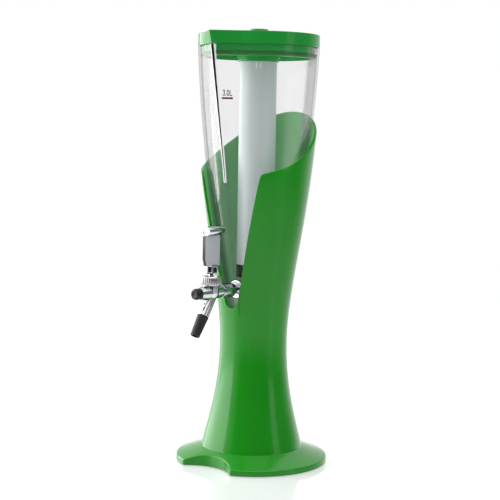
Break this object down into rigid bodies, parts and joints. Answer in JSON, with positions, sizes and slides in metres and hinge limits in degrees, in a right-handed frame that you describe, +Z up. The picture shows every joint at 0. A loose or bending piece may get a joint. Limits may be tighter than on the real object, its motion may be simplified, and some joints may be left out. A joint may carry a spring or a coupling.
{
  "type": "beer tower dispenser",
  "caption": "Table-top drink tower: flared pedestal with an open collar, a clear prow-shaped tank, a plug lid that carries an ice tube, and a lever tap.",
  "frame": {"origin": "centre of the foot on the table, at the centre pad's standing face", "axes": "+Z up; -Y toward the front, where the tap, the prow edge and the bite in the foot are; +X to the user's right"},
  "size_m": [0.21, 0.2339, 0.5975],
  "materials": {
    "shell_green": "glossy moulded ABS, green",
    "lid_green": "glossy moulded ABS, green",
    "cover_black": "fine-textured black plastic",
    "pad_rubber": "soft black rubber",
    "ballast_iron": "coated cast plate",
    "screw_steel": "zinc-plated steel",
    "tank_clear": "clear moulded plastic, polished",
    "tube_frost": "frosted plastic",
    "seal_green": "soft green silicone",
    "seal_black": "soft black rubber",
    "tap_chrome": "bright chrome plating",
    "ring_silver": "knurled satin chrome",
    "part_steel": "turned stainless steel",
    "cap_black": "black moulded plastic",
    "seat_white": "low-friction white plastic"
  },
  "bodies": {
    "pedestal": {"pedestal_shell": "shell_green", "bottom_cover": "cover_black", "ballast_plate": "ballast_iron", "cover_screws": "screw_steel", "rubber_feet": "pad_rubber"},
    "tank": {"tank": "tank_clear", "tap_lock_nut": "tap_chrome", "tap_inner_seal": "seal_black", "tap_outer_seal": "seal_black", "tap_flange": "tap_chrome", "tap_shank": "tap_chrome", "tap_coupling_nut": "tap_chrome", "shank_washer": "seal_black", "tap_body": "tap_chrome", "tap_end_cap": "cap_black", "end_cap_seal": "seal_black", "nozzle_sleeve": "seal_black", "bonnet_ring": "ring_silver", "ball_seat": "seat_white"},
    "lid": {"lid_cap": "lid_green", "lid_plug": "lid_green", "lid_seal": "seal_green", "lid_knob": "lid_green"},
    "ice_tube": {"ice_tube": "tube_frost", "ice_tube_cap": "cap_black", "ice_tube_seal": "seal_black"},
    "lever": {"lever_stem": "part_steel", "lever_handle": "tap_chrome", "lever_grip": "tap_chrome", "hub_plug": "cap_black"},
    "plunger": {"plunger": "part_steel", "piston_seal": "seal_black"}
  },
  "joints": [
    {"name": "tank_lift", "type": "slide", "parent": "pedestal", "child": "tank", "axis": [0, 0, 1], "range_m": [0, 0.3]},
    {"name": "lid_lift", "type": "slide", "parent": "tank", "child": "lid", "axis": [0, 0, 1], "range_m": [0, 0.325]},
    {"name": "tube_turn", "type": "hinge", "parent": "lid", "child": "ice_tube", "pos_m": [0, 0, 0.5595], "axis": [0, 0, 1], "range_deg": [0, 60]},
    {"name": "lever_tilt", "type": "hinge", "parent": "tank", "child": "lever", "pos_m": [0, -0.093, 0.2575], "axis": [1, 0, 0], "range_deg": [-8, 22]},
    {"name": "plunger_slide", "type": "slide", "parent": "tank", "child": "plunger", "axis": [0, 1, 0], "range_m": [-0.0021, 0.0057]}
  ],
  "couplings": [
    {"joint": "plunger_slide", "follows": "lever_tilt", "m_per_rad": 0.0145}
  ]
}
